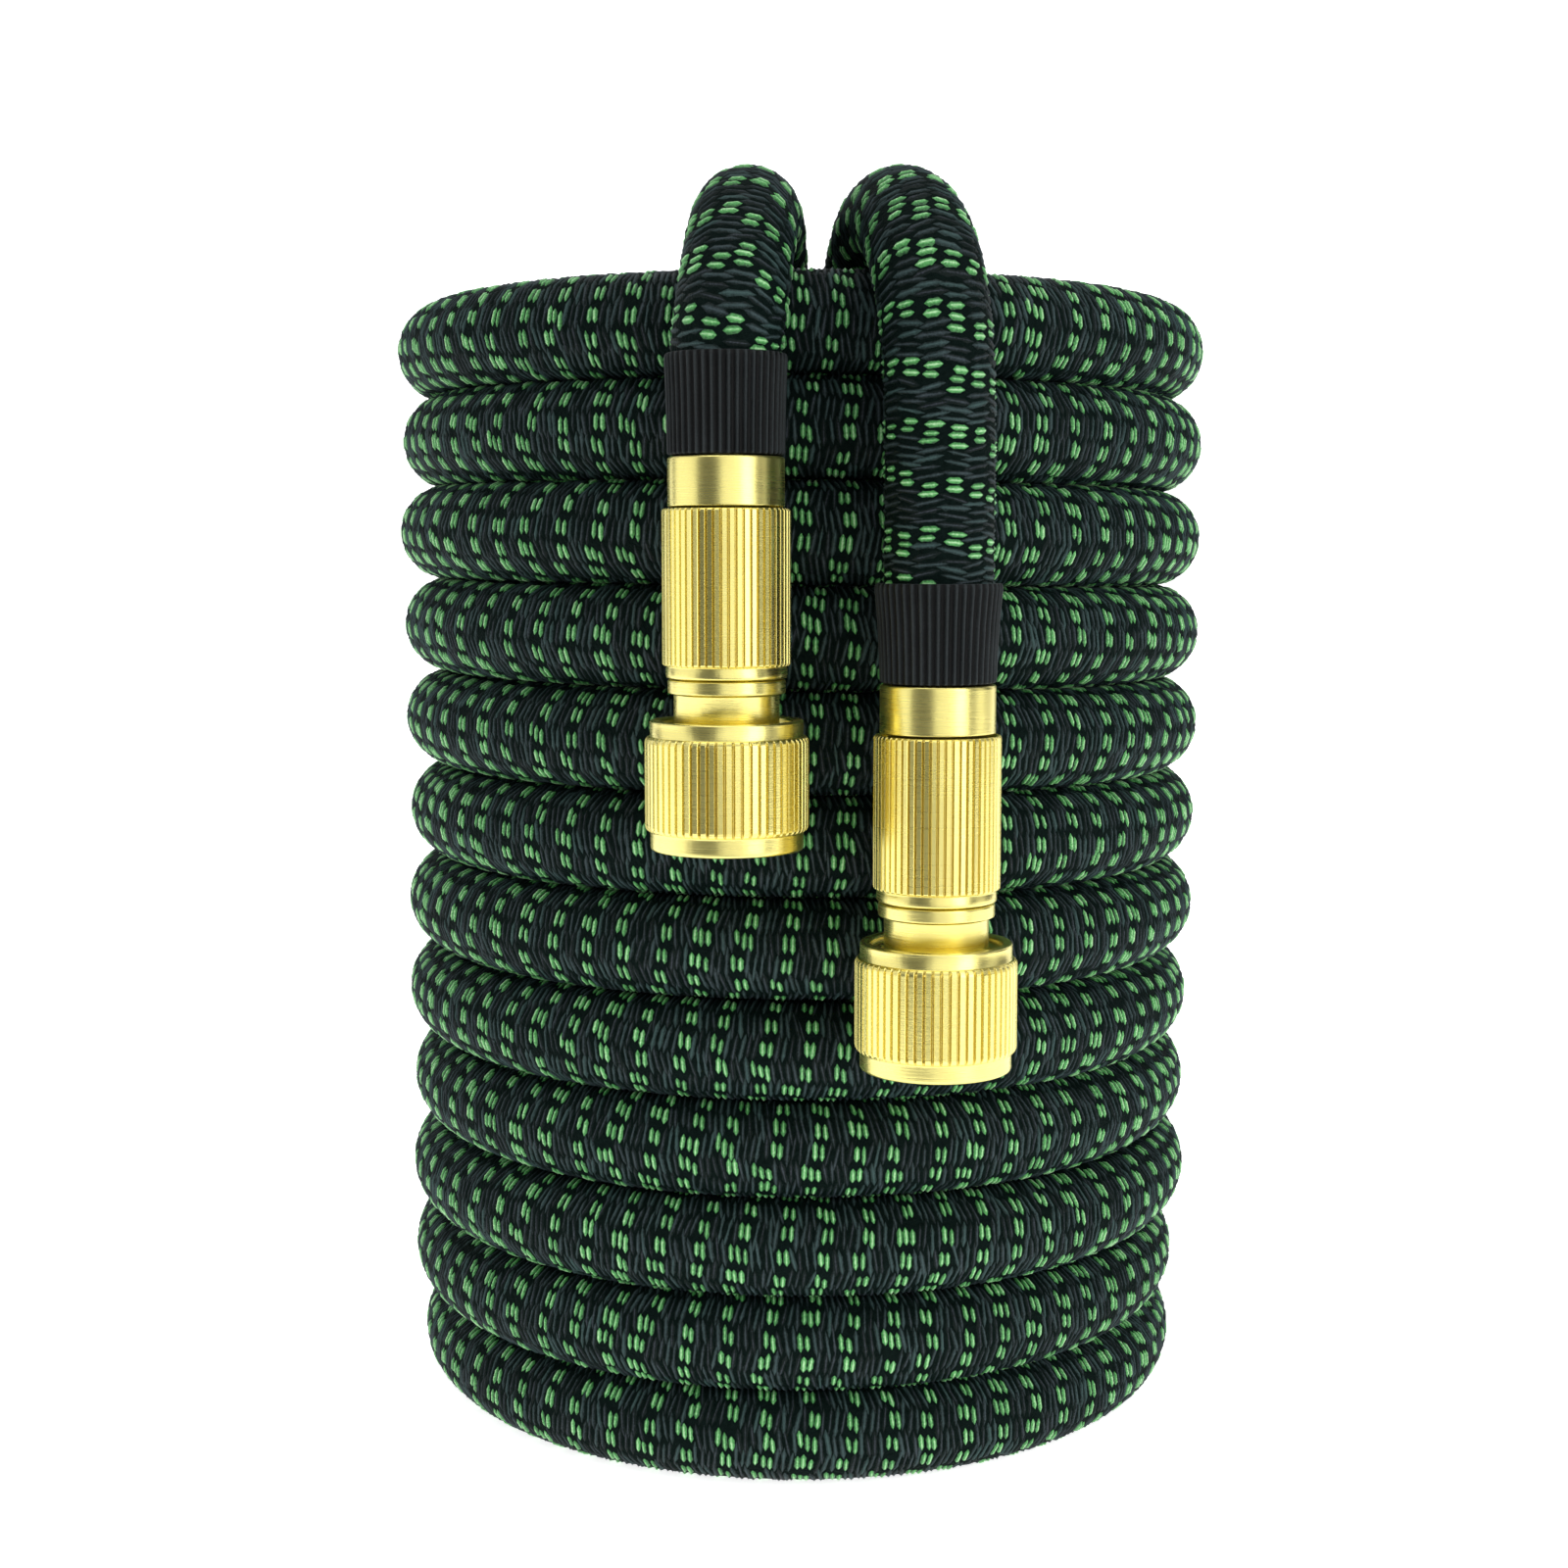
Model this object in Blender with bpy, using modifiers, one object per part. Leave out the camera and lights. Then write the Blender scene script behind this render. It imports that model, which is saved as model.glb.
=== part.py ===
"""Expandable garden hose: an upright coil of level turns with both ends over its front.

Metres, +Z up. The coil stands on its end on z = 0, its axis is plumb and the two
fittings hang down in front of it, on the -Y side.
"""

import math

import bmesh
import bpy
from mathutils import Vector

# The hose and its coil
HOSE_DIAMETER = 0.0224
TURN_SQUASH = 0.0004        # how far neighbouring turns press into each other
TURN_COUNT = 12
COIL_RADIUS = 0.0875        # of the centreline of a turn
FLOOR_FLAT = 0.0004         # how far the lowest turn is flattened where it rests
OUTER_FACETS = 4            # flats on the outer side of each turn's section
INNER_FACETS = 2
COIL_STEPS = 40
LEAD_POINT_SPACING = 0.0125
LEAD_PLUMB_RUN = 0.0040     # the straight end above each collar
CURVE_STEPS = 20            # between two points of a route
LEAD_BEVEL_RESOLUTION = 3

# Gaps between pieces that touch
GAP = 0.0003
COIL_CLEARANCE = 0.0005     # between the hanging nuts and the coil

# Turned pieces
FITTING_STEPS = 24
EDGE_CHAMFER = 0.0005
WATERWAY_RADIUS = 0.0045

# Black collar over the end of the hose
COLLAR_LENGTH = 0.0199
COLLAR_WALL = 0.0010        # beyond the hose, at its foot
COLLAR_FLARE = 0.0009       # wider at its top than at its foot

# Connector body: tail in the collar, plain ring, core in the sleeve
TAIL_WALL = 0.0015
TAIL_SETBACK = 0.0060       # from the collar's top down to the tail's end
PLAIN_RING_STEP = 0.0005    # smaller than the collar's foot
PLAIN_RING_LENGTH = 0.0099
CORE_SHOULDER = 0.0017      # smaller than the plain ring
CORE_WALL = 0.0027
PLUG_END_CLEARANCE = 0.0020

# Release sleeve, which slides up over the plain ring
SLEEVE_WALL = 0.0009        # round the plain ring
BARREL_LENGTH = 0.0313
SLEEVE_LIP_STEP = 0.0007
SLEEVE_LIP_LENGTH = 0.0024
SLEEVE_TRAVEL = 0.0050
SLEEVE_END_ROOM = 0.0005    # of the spring's room past the sleeve's travel

# Adapter: plug in the connector, plain ring, neck and the flange inside the nut
PLUG_LENGTH = 0.0200
ADAPTER_RING_STEP = 0.0012  # larger than the neck
ADAPTER_RING_LENGTH = 0.0028
NECK_SHOWN = 0.0054         # from the plain ring to the top of the nut
FLANGE_STEP = 0.00195       # larger than the neck
FLANGE_LENGTH = 0.0026

# Washer under the flange
WASHER_LENGTH = 0.0024
WASHER_WIDTH = 0.0061

# Tap nut
NUT_SOCKET_RADIUS = 0.0130  # between the crests and the roots of a G3/4 thread
SOCKET_CLEARANCE = 0.0004   # round the flange and the washer
NUT_LIP_WALL = 0.0025
NUT_KNURL_STEP = 0.00105    # larger than the lips
NUT_LENGTH = 0.0262
NUT_TOP_LIP_LENGTH = 0.0032
NUT_FOOT_LIP_LENGTH = 0.0039
NUT_TOP_WALL = 0.0045
NUT_RIM = 0.0022            # of the top lip, round the recess
NUT_RECESS_DEPTH = 0.0015
NUT_NECK_CLEARANCE = 0.00045

# Where the two fittings hang: x, and the drop from the coil's top to the collar's top
FITTING_PLACES = {"left": (-0.0155, 0.0198), "right": (0.0270, 0.0650)}

# Worked out from the sizes above
HOSE_RADIUS = HOSE_DIAMETER / 2
TURN_PITCH = HOSE_DIAMETER - TURN_SQUASH
FIRST_TURN_HEIGHT = HOSE_RADIUS - FLOOR_FLAT
LAST_TURN_HEIGHT = FIRST_TURN_HEIGHT + (TURN_COUNT - 1) * TURN_PITCH
COIL_TOP = LAST_TURN_HEIGHT + HOSE_RADIUS
COIL_OUTER_RADIUS = COIL_RADIUS + HOSE_RADIUS
COLLAR_RADIUS = HOSE_RADIUS + COLLAR_WALL
PLAIN_RING_RADIUS = COLLAR_RADIUS - PLAIN_RING_STEP
CORE_RADIUS = PLAIN_RING_RADIUS - CORE_SHOULDER
TAIL_RADIUS = WATERWAY_RADIUS + TAIL_WALL
PLUG_RADIUS = CORE_RADIUS - CORE_WALL - GAP
BARREL_RADIUS = PLAIN_RING_RADIUS + GAP + SLEEVE_WALL
FLANGE_RADIUS = NUT_SOCKET_RADIUS - SOCKET_CLEARANCE
NECK_RADIUS = FLANGE_RADIUS - FLANGE_STEP
ADAPTER_RING_RADIUS = NECK_RADIUS + ADAPTER_RING_STEP
NUT_LIP_RADIUS = NUT_SOCKET_RADIUS + NUT_LIP_WALL
NUT_RADIUS = NUT_LIP_RADIUS + NUT_KNURL_STEP
FITTING_REACH = COIL_OUTER_RADIUS + COIL_CLEARANCE + NUT_RADIUS
AXIS_Y = (FITTING_REACH + NUT_RADIUS - COIL_OUTER_RADIUS) / 2
FITTING_Y = AXIS_Y - FITTING_REACH

# Heights in a fitting, down from its collar's top
RING_TOP = -COLLAR_LENGTH - GAP
RING_FOOT = RING_TOP - PLAIN_RING_LENGTH
SLEEVE_TOP = RING_FOOT - GAP
BARREL_FOOT = SLEEVE_TOP - BARREL_LENGTH
SLEEVE_FOOT = BARREL_FOOT - SLEEVE_LIP_LENGTH
ADAPTER_RING_TOP = SLEEVE_FOOT - GAP
NECK_TOP = ADAPTER_RING_TOP - ADAPTER_RING_LENGTH
NUT_TOP = NECK_TOP - NECK_SHOWN
FLANGE_TOP = NUT_TOP - NUT_TOP_WALL - GAP
FLANGE_FOOT = FLANGE_TOP - FLANGE_LENGTH
WASHER_TOP = FLANGE_FOOT - GAP
NUT_MOUTH = NUT_TOP - NUT_LENGTH

# Routes of the free ends, chosen by hand: x, then y from the coil's axis, then z from its top.
# Each runs from beside its turn at the back, up inside the coil and over the front.
ROUTES = {
    "left": (
        (-0.0121, 0.0635, -0.0332),
        (-0.0340, 0.0532, -0.0455),
        (-0.0495, 0.0365, -0.0600),
        (-0.0545, 0.0130, -0.0740),
        (-0.0480, -0.0130, -0.0800),
        (-0.0330, -0.0340, -0.0740),
        (-0.0190, -0.0440, -0.0560),
        (-0.0130, -0.0472, -0.0370),
        (-0.0118, -0.0478, -0.0175),
        (-0.0120, -0.0523, -0.0035),
        (-0.0124, -0.0622, 0.0073),
        (-0.0131, -0.0758, 0.0130),
        (-0.0139, -0.0905, 0.0123),
        (-0.0147, -0.1036, 0.0055),
        (-0.0153, -0.1125, -0.0061),
    ),
    "right": (
        (0.0091, 0.0642, -0.2525),
        (0.0330, 0.0545, -0.2515),
        (0.0495, 0.0385, -0.2445),
        (0.0575, 0.0160, -0.2300),
        (0.0560, -0.0100, -0.2060),
        (0.0480, -0.0300, -0.1750),
        (0.0390, -0.0410, -0.1400),
        (0.0310, -0.0460, -0.1000),
        (0.0250, -0.0475, -0.0600),
        (0.0222, -0.0478, -0.0330),
        (0.0216, -0.0478, -0.0175),
        (0.0219, -0.0523, -0.0035),
        (0.0227, -0.0622, 0.0073),
        (0.0238, -0.0758, 0.0130),
        (0.0249, -0.0905, 0.0123),
        (0.0259, -0.1036, 0.0055),
        (0.0266, -0.1125, -0.0061),
        (0.0270, -0.11575, -0.0220),
        (0.0270, -0.11575, -0.0400),
    ),
}


def clear_scene():
    for old in list(bpy.data.objects):
        bpy.data.objects.remove(old, do_unlink=True)


def make_collection(name):
    collection = bpy.data.collections.new(name)
    bpy.context.scene.collection.children.link(collection)
    return collection


def make_material(name, colour, roughness, metallic):
    material = bpy.data.materials.new(name)
    material.use_nodes = True
    shader = material.node_tree.nodes["Principled BSDF"]
    shader.inputs["Base Color"].default_value = (*colour, 1.0)
    shader.inputs["Roughness"].default_value = roughness
    shader.inputs["Metallic"].default_value = metallic
    return material


def turned(name, profile, steps, place, material, collection):
    """A solid turned about Z from a closed profile of (radius, height) points."""
    shape = bmesh.new()
    points = [shape.verts.new((radius, 0.0, height)) for radius, height in profile]
    for first, second in zip(points, points[1:] + points[:1]):
        shape.edges.new((first, second))
    mesh = bpy.data.meshes.new(name)
    shape.to_mesh(mesh)
    shape.free()
    mesh.materials.append(material)
    piece = bpy.data.objects.new(name, mesh)
    piece.location = place
    screw = piece.modifiers.new("turn", "SCREW")
    screw.axis = "Z"
    screw.steps = steps
    screw.render_steps = steps
    screw.use_merge_vertices = True
    screw.merge_threshold = 0.00001
    screw.use_smooth_shade = True
    collection.objects.link(piece)
    return piece


def ring_section(outline_outside, outline_inside):
    """A hollow turned piece: its outside from top to bottom, then its bore from bottom to top."""
    return list(outline_outside) + list(reversed(outline_inside))


def turn_side(sign, facets, top_angle, foot_angle, height):
    """Points down one side of a turn's round section, outwards for sign 1, inwards for -1."""
    for step in range(facets + 1):
        angle = top_angle + (foot_angle - top_angle) * step / facets
        yield (
            COIL_RADIUS + sign * HOSE_RADIUS * math.cos(angle),
            height + HOSE_RADIUS * math.sin(angle),
        )


def coil_section():
    contact = math.asin(TURN_PITCH / HOSE_DIAMETER)
    rest = math.asin(FIRST_TURN_HEIGHT / HOSE_RADIUS)
    sides = {1: [], -1: []}
    for sign, facets in ((1, OUTER_FACETS), (-1, INNER_FACETS)):
        for turn in reversed(range(TURN_COUNT)):
            top_angle = math.pi / 2 if turn == TURN_COUNT - 1 else contact
            foot_angle = -rest if turn == 0 else -contact
            height = FIRST_TURN_HEIGHT + turn * TURN_PITCH
            points = list(turn_side(sign, facets, top_angle, foot_angle, height))
            # A turn starts on the last point of the one above it.
            sides[sign] += points if turn == TURN_COUNT - 1 else points[1:]
    # The two sides share the highest point of the top turn.
    return ring_section(sides[1], sides[-1][1:])


def smooth_route(route, collar_top):
    """Evenly spaced points on a smooth curve through the route and plumb down to the collar."""
    guide = [Vector((x, AXIS_Y + y, COIL_TOP + z)) for x, y, z in route]
    lead_end = collar_top + Vector((0.0, 0.0, GAP))
    guide.append(lead_end + Vector((0.0, 0.0, LEAD_PLUMB_RUN)))
    last_run = (guide[-1] - guide[-2]).length
    before_first = 2 * guide[0] - guide[1]
    after_last = guide[-1] - Vector((0.0, 0.0, last_run))
    padded = [before_first] + guide + [after_last]
    fine = []
    for before, start, end, after in zip(padded, padded[1:], padded[2:], padded[3:]):
        for step in range(CURVE_STEPS):
            t = step / CURVE_STEPS
            fine.append(
                0.5
                * (
                    2 * start
                    + (end - before) * t
                    + (2 * before - 5 * start + 4 * end - after) * t**2
                    + (3 * start - before - 3 * end + after) * t**3
                )
            )
    fine.append(guide[-1])
    travelled = [0.0]
    for first, second in zip(fine, fine[1:]):
        travelled.append(travelled[-1] + (second - first).length)
    count = round(travelled[-1] / LEAD_POINT_SPACING)
    spaced, at = [], 0
    for index in range(count + 1):
        distance = travelled[-1] * index / count
        while at < len(travelled) - 2 and travelled[at + 1] < distance:
            at += 1
        share = (distance - travelled[at]) / (travelled[at + 1] - travelled[at])
        spaced.append(fine[at].lerp(fine[at + 1], share))
    return spaced + [lead_end]


def hose_lead(name, route, collar_top, material, collection):
    curve = bpy.data.curves.new(name, "CURVE")
    curve.dimensions = "3D"
    curve.bevel_depth = HOSE_RADIUS
    curve.bevel_resolution = LEAD_BEVEL_RESOLUTION
    curve.use_fill_caps = True
    points = smooth_route(route, collar_top)
    spline = curve.splines.new("POLY")
    spline.points.add(len(points) - 1)
    for point, place in zip(spline.points, points):
        point.co = (*place, 1.0)
    curve.materials.append(material)
    collection.objects.link(bpy.data.objects.new(name, curve))


def collar_section():
    top_radius = COLLAR_RADIUS + COLLAR_FLARE
    bore = TAIL_RADIUS + GAP
    outside = [
        (top_radius - EDGE_CHAMFER, 0.0),
        (top_radius, -EDGE_CHAMFER),
        (COLLAR_RADIUS, -COLLAR_LENGTH),
    ]
    return ring_section(outside, [(bore, 0.0), (bore, -COLLAR_LENGTH)])


def connector_section():
    socket_radius = PLUG_RADIUS + GAP
    socket_top = SLEEVE_FOOT - GAP + PLUG_LENGTH + PLUG_END_CLEARANCE
    outside = [
        (TAIL_RADIUS, -TAIL_SETBACK),
        (TAIL_RADIUS, RING_TOP),
        (PLAIN_RING_RADIUS - EDGE_CHAMFER, RING_TOP),
        (PLAIN_RING_RADIUS, RING_TOP - EDGE_CHAMFER),
        (PLAIN_RING_RADIUS, RING_FOOT + EDGE_CHAMFER),
        (PLAIN_RING_RADIUS - EDGE_CHAMFER, RING_FOOT),
        (CORE_RADIUS, RING_FOOT),
        (CORE_RADIUS, SLEEVE_FOOT),
    ]
    inside = [
        (WATERWAY_RADIUS, -TAIL_SETBACK),
        (WATERWAY_RADIUS, socket_top),
        (socket_radius, socket_top),
        (socket_radius, SLEEVE_FOOT),
    ]
    return ring_section(outside, inside)


def sleeve_section():
    bore = CORE_RADIUS + GAP
    spring_room = PLAIN_RING_RADIUS + GAP
    spring_floor = SLEEVE_TOP - SLEEVE_TRAVEL - SLEEVE_END_ROOM
    lip_radius = BARREL_RADIUS - SLEEVE_LIP_STEP
    outside = [
        (BARREL_RADIUS - EDGE_CHAMFER, SLEEVE_TOP),
        (BARREL_RADIUS, SLEEVE_TOP - EDGE_CHAMFER),
        (BARREL_RADIUS, BARREL_FOOT),
        (lip_radius, BARREL_FOOT),
        (lip_radius, SLEEVE_FOOT),
    ]
    inside = [
        (spring_room, SLEEVE_TOP),
        (spring_room, spring_floor),
        (bore, spring_floor),
        (bore, SLEEVE_FOOT),
    ]
    return ring_section(outside, inside)


def adapter_section():
    plug_top = ADAPTER_RING_TOP + PLUG_LENGTH
    outside = [
        (PLUG_RADIUS, plug_top),
        (PLUG_RADIUS, ADAPTER_RING_TOP),
        (ADAPTER_RING_RADIUS, ADAPTER_RING_TOP),
        (ADAPTER_RING_RADIUS, NECK_TOP),
        (NECK_RADIUS, NECK_TOP),
        (NECK_RADIUS, FLANGE_TOP),
        (FLANGE_RADIUS, FLANGE_TOP),
        (FLANGE_RADIUS, FLANGE_FOOT),
    ]
    return ring_section(outside, [(WATERWAY_RADIUS, plug_top), (WATERWAY_RADIUS, FLANGE_FOOT)])


def washer_section():
    foot = WASHER_TOP - WASHER_LENGTH
    hole = FLANGE_RADIUS - WASHER_WIDTH
    outside = [(FLANGE_RADIUS, WASHER_TOP), (FLANGE_RADIUS, foot)]
    return ring_section(outside, [(hole, WASHER_TOP), (hole, foot)])


def nut_section():
    hole = NECK_RADIUS + NUT_NECK_CLEARANCE
    recess_radius = NUT_LIP_RADIUS - NUT_RIM
    recess_floor = NUT_TOP - NUT_RECESS_DEPTH
    socket_top = NUT_TOP - NUT_TOP_WALL
    knurl_top = NUT_TOP - NUT_TOP_LIP_LENGTH
    knurl_foot = NUT_MOUTH + NUT_FOOT_LIP_LENGTH
    outside = [
        (NUT_LIP_RADIUS - EDGE_CHAMFER, NUT_TOP),
        (NUT_LIP_RADIUS, NUT_TOP - EDGE_CHAMFER),
        (NUT_LIP_RADIUS, knurl_top),
        (NUT_RADIUS, knurl_top - NUT_KNURL_STEP),
        (NUT_RADIUS, knurl_foot + NUT_KNURL_STEP),
        (NUT_LIP_RADIUS, knurl_foot),
        (NUT_LIP_RADIUS, NUT_MOUTH + EDGE_CHAMFER),
        (NUT_LIP_RADIUS - EDGE_CHAMFER, NUT_MOUTH),
    ]
    inside = [
        (recess_radius, NUT_TOP),
        (recess_radius, recess_floor),
        (hole, recess_floor),
        (hole, socket_top),
        (NUT_SOCKET_RADIUS, socket_top),
        (NUT_SOCKET_RADIUS, NUT_MOUTH),
    ]
    return ring_section(outside, inside)


clear_scene()
parts = make_collection("garden_hose")
knit = make_material("knitted_jacket", (0.012, 0.013, 0.014), 0.85, 0.0)
collar_rubber = make_material("collar_rubber", (0.018, 0.018, 0.019), 0.6, 0.0)
brass = make_material("satin_brass", (0.72, 0.52, 0.24), 0.3, 1.0)
washer_rubber = make_material("washer_rubber", (0.02, 0.02, 0.02), 0.7, 0.0)

turned("hose_coil", coil_section(), COIL_STEPS, (0.0, AXIS_Y, 0.0), knit, parts)
for side, (across, drop) in FITTING_PLACES.items():
    hang = Vector((across, FITTING_Y, COIL_TOP - drop))
    hose_lead(f"hose_{side}_lead", ROUTES[side], hang, knit, parts)
    for piece, section, material in (
        ("collar", collar_section(), collar_rubber),
        ("connector_body", connector_section(), brass),
        ("release_sleeve", sleeve_section(), brass),
        ("adapter", adapter_section(), brass),
        ("nut_washer", washer_section(), washer_rubber),
        ("tap_nut", nut_section(), brass),
    ):
        turned(f"{side}_{piece}", section, FITTING_STEPS, hang, material, parts)
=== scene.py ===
import math

import bpy
import numpy as np
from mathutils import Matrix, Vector


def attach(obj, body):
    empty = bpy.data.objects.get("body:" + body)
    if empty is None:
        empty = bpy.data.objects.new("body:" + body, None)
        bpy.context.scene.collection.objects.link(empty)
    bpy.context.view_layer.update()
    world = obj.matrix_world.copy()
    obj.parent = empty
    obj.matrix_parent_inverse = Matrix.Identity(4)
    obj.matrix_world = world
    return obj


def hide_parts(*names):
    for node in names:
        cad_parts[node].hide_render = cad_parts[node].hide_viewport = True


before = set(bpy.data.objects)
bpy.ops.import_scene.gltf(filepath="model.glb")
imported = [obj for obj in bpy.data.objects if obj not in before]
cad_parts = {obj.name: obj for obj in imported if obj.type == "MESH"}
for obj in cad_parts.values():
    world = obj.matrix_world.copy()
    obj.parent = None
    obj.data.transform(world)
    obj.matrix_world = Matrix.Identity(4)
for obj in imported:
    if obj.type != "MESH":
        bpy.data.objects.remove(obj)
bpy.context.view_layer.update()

# The camera stands in front of the coil, a little above its middle, and looks slightly down.
# It is so close that the top turn is seen from a little below and the lowest turns from above.
CAMERA_PLACE = (-0.00397, -0.5458, 0.2054)
CAMERA_DOWN = math.radians(5.98)
CAMERA_LENS = 51.05
CAMERA_SENSOR = 36.0

camera_data = bpy.data.cameras.new("camera")
camera_data.lens = CAMERA_LENS
camera_data.sensor_width = CAMERA_SENSOR
camera = bpy.data.objects.new("camera", camera_data)
camera.location = CAMERA_PLACE
camera.rotation_euler = (math.radians(90) - CAMERA_DOWN, 0, 0)
bpy.context.scene.collection.objects.link(camera)
bpy.context.scene.camera = camera

# The hose is a thin stretch tube inside a knitted jacket, drawn short when it is empty. It is wound in
# twelve turns on each other, and both of its ends come up inside the coil and hang over its front.
# This mesh is the jacket's ground between the floats of yarn, which follow as pieces of their own.
TURN_COUNT = 12
TURN_HEIGHT = 0.0220
COIL_RADIUS = 0.0875
COIL_AXIS_Y = 0.0168
COIL_TOP = 0.2640
HOSE_RADIUS = 0.0112
GROUND_RADIUS = 0.01095
RING_SPACING = 0.0050
RING_SIDES = 28
FLOOR_GAP = 0.0002
STEP_START = math.radians(145)
STEP_END = math.radians(35)

# How much thicker or thinner than the mean each turn is pressed, and how far out it bulges on the
# left and on the right, from the lowest turn up.
TURN_PRESS_LEFT = (-0.010, -0.035, 0.002, 0.0, 0.012, 0.020, 0.010, 0.045, 0.012, 0.010, -0.030, -0.020)
TURN_PRESS_RIGHT = (-0.050, -0.060, 0.060, -0.050, 0.0, 0.030, 0.0, 0.0, 0.030, 0.020, 0.020, -0.010)
TURN_OUT_LEFT = (
    -0.0030, -0.0010, -0.0007, -0.0014, -0.0005, -0.0007, -0.0014, -0.0007, -0.0007, 0.0, -0.0010, 0.0
)
TURN_OUT_RIGHT = (
    -0.0044, -0.0040, -0.0014, -0.0020, -0.0016, -0.0004, -0.0004, 0.0, 0.0, 0.0, 0.0, 0.0
)

# The two free ends, each from the wall of turns, round inside the coil, over its front and down into
# its collar. The points are counted from the coil's axis and from its top.
LEFT_ROUTE = (
    (-0.0121, 0.0635, -0.0332), (-0.0340, 0.0532, -0.0455), (-0.0495, 0.0365, -0.0600),
    (-0.0545, 0.0130, -0.0740), (-0.0480, -0.0130, -0.0800), (-0.0330, -0.0340, -0.0740),
    (-0.0170, -0.0440, -0.0560), (-0.0105, -0.0472, -0.0370), (-0.0091, -0.0474, -0.0180),
    (-0.0094, -0.0513, -0.0045), (-0.0100, -0.0602, 0.0056), (-0.0108, -0.0735, 0.0108),
    (-0.0118, -0.0883, 0.0101), (-0.0129, -0.1022, 0.0037), (-0.0141, -0.1120, -0.0073),
    (-0.0152, -0.11575, -0.0163), (-0.0155, -0.11575, -0.0214),
)
RIGHT_ROUTE = (
    (0.0091, 0.0642, -0.2525), (0.0330, 0.0545, -0.2515), (0.0495, 0.0385, -0.2445),
    (0.0575, 0.0160, -0.2300), (0.0560, -0.0100, -0.2060), (0.0480, -0.0300, -0.1750),
    (0.0380, -0.0410, -0.1400), (0.0285, -0.0460, -0.1000), (0.0200, -0.0475, -0.0600),
    (0.0161, -0.0476, -0.0340), (0.0152, -0.0474, -0.0180), (0.0155, -0.0513, -0.0045),
    (0.0166, -0.0602, 0.0056), (0.0187, -0.0735, 0.0108), (0.0212, -0.0883, 0.0101),
    (0.0236, -0.1022, 0.0037), (0.0255, -0.1120, -0.0073), (0.0267, -0.11575, -0.0220),
    (0.0270, -0.11575, -0.0400), (0.0270, -0.11575, -0.0610), (0.0270, -0.11575, -0.0666),
)


def smoothly(low, high, share):
    """low at a share of 0 and high at 1, with no corner at either."""
    share = min(max(share, 0.0), 1.0)
    return low + (high - low) * share * share * (3 - 2 * share)


def side_share(angle):
    """1 on the coil's right side, 0 on its left side."""
    return 0.5 + 0.5 * math.cos(angle)


def turn_sizes(turn, angle):
    """Thickness and outward shift of one whole turn at an angle round the coil."""
    share = side_share(angle)
    press = TURN_PRESS_LEFT[turn] * (1 - share) + TURN_PRESS_RIGHT[turn] * share
    shift = TURN_OUT_LEFT[turn] * (1 - share) + TURN_OUT_RIGHT[turn] * share
    return TURN_HEIGHT * (1 + press), shift


def turn_centre(level, angle):
    """Height and outward shift of the hose at a level, which is whole except in the step."""
    below = int(math.floor(level))
    part = level - below
    sizes = [turn_sizes(turn, angle) for turn in range(TURN_COUNT)]
    spread = TURN_COUNT * TURN_HEIGHT / sum(size[0] for size in sizes)
    found = []
    for turn in (below, min(below + 1, TURN_COUNT - 1)):
        height = (sum(size[0] for size in sizes[:turn]) + sizes[turn][0] / 2) * spread
        found.append((height, sizes[turn][1]))
    return tuple(a * (1 - part) + b * part for a, b in zip(*found))


def wall_point(angle, level, reach=0.0, lean=0.0):
    """A point of the hose in the wound wall, or lying against it: reach away from the turn, at a lean
    that is 0 level inside it and a quarter turn on top of it."""
    height, shift = turn_centre(level, angle)
    radius = COIL_RADIUS + shift - reach * math.cos(lean)
    return (
        radius * math.cos(angle), COIL_AXIS_Y + radius * math.sin(angle), height + reach * math.sin(lean)
    )


def step_level(turn, angle):
    """The level of the hose in the hidden arc at the back, where it steps down from turn to turn - 1."""
    return turn - smoothly(0, 1, (STEP_START - angle) / (STEP_START - STEP_END))


def in_room(route):
    """Route points from the coil's axis and top to the frame."""
    return [(x, y + COIL_AXIS_Y, z + COIL_TOP) for x, y, z in route]


# From the left collar over the front, round inside the coil, and up onto its top turn. Where it comes
# to the wall's inside, it is this far from the turn's middle, at a lean in degrees.
JOIN_REACH = 0.0268
JOIN_LEAN = -32
hose_route = in_room(reversed(LEFT_ROUTE))
joins_from = math.atan2(LEFT_ROUTE[0][1], LEFT_ROUTE[0][0])
for share in np.linspace(0.125, 1.0, 8)[:-1]:
    angle = joins_from + (STEP_END - joins_from) * share
    reach = smoothly(JOIN_REACH, TURN_HEIGHT, share)
    lean = math.radians(smoothly(JOIN_LEAN, 90, share))
    hose_route.append(wall_point(angle, step_level(TURN_COUNT - 1, angle), reach, lean))

# Twelve turns, from the top down, clockwise as seen from above.
LEVEL_POINTS = 30
STEP_POINTS = 14
LEVEL_ARC = 2 * math.pi - (STEP_START - STEP_END)
for turn in range(TURN_COUNT - 1, -1, -1):
    for share in np.linspace(0, 1, LEVEL_POINTS):
        hose_route.append(wall_point(STEP_END - LEVEL_ARC * share, turn))
    if turn:
        for share in np.linspace(0, 1, STEP_POINTS)[1:-1]:
            angle = STEP_START + (STEP_END - STEP_START) * share
            hose_route.append(wall_point(angle, step_level(turn, angle)))

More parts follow.
